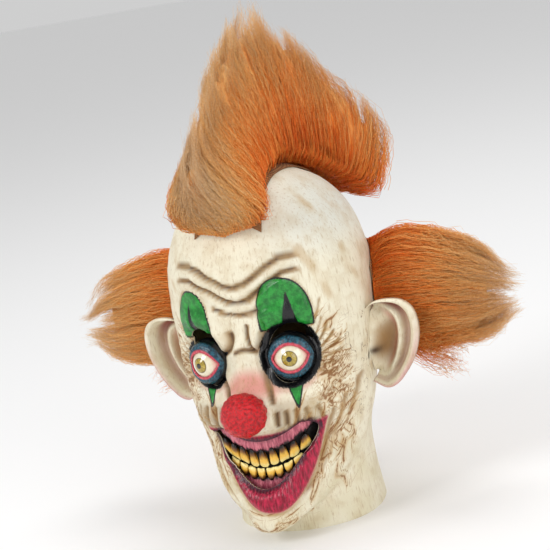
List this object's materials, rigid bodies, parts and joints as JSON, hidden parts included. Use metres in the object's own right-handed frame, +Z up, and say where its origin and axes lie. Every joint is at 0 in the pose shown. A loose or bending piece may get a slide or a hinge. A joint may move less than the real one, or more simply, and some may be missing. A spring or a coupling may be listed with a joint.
{
  "type": "full-head latex clown mask",
  "caption": "Full-head cast latex mask of a grinning clown, with glued-on ears, ball nose, domed eyes, teeth, a hair crest and side tufts, and a nape slit between two flaps.",
  "frame": {"origin": "under the middle of the whole mask, hair included, in the plane of the neck hem", "axes": "+Z up through the crown, -Y the way the face looks, +X towards the wearer's left ear"},
  "size_m": [0.4008, 0.2545, 0.42],
  "materials": {
    "skin_latex": "matt cream paint on cast latex, with brown wash in the wrinkles",
    "nose_latex": "satin red paint, crinkled",
    "lid_latex": "gloss teal-black paint",
    "eye_plastic": "gloss, printed iris and pupil",
    "glue": "clear yellowish glue bead",
    "gum_latex": "gloss pink and magenta paint",
    "tooth_latex": "gloss yellow paint, brown at the roots",
    "black_latex": "matt black",
    "patch_cloth": "woven",
    "hair_cloth": "woven",
    "hair_fibre": "teased synthetic fibre, orange with tan ends"
  },
  "bodies": {
    "mask": {"latex_skin": "skin_latex", "slit_patch": "patch_cloth", "left_ear": "skin_latex", "right_ear": "skin_latex", "red_nose": "nose_latex", "left_eyeball": "eye_plastic", "right_eyeball": "eye_plastic", "left_eyelids": "lid_latex", "right_eyelids": "lid_latex", "left_eye_glue_ring": "glue", "right_eye_glue_ring": "glue", "upper_gum": "gum_latex", "lower_gum": "gum_latex", "upper_teeth": "tooth_latex", "lower_teeth": "tooth_latex", "mouth_backing": "black_latex", "crest_backing": "hair_cloth", "crest_hair": "hair_fibre", "left_tuft_backing": "hair_cloth", "left_tuft_hair": "hair_fibre", "right_tuft_backing": "hair_cloth", "right_tuft_hair": "hair_fibre"},
    "left_flap": {"left_nape_flap": "skin_latex"},
    "right_flap": {"right_nape_flap": "skin_latex"}
  },
  "joints": [
    {"name": "left_flap_swing", "type": "hinge", "parent": "mask", "child": "left_flap", "pos_m": [0.03095, 0.04537, 0.06093], "axis": [0.2751, -0.317, -0.9076], "range_deg": [0, 35], "stiffness_Nm_per_rad": 0.05, "springref_deg": -5.73},
    {"name": "right_flap_swing", "type": "hinge", "parent": "mask", "child": "right_flap", "pos_m": [-0.03095, 0.04537, 0.06093], "axis": [0.2751, 0.317, 0.9076], "range_deg": [0, 35], "stiffness_Nm_per_rad": 0.05, "springref_deg": -5.73}
  ]
}
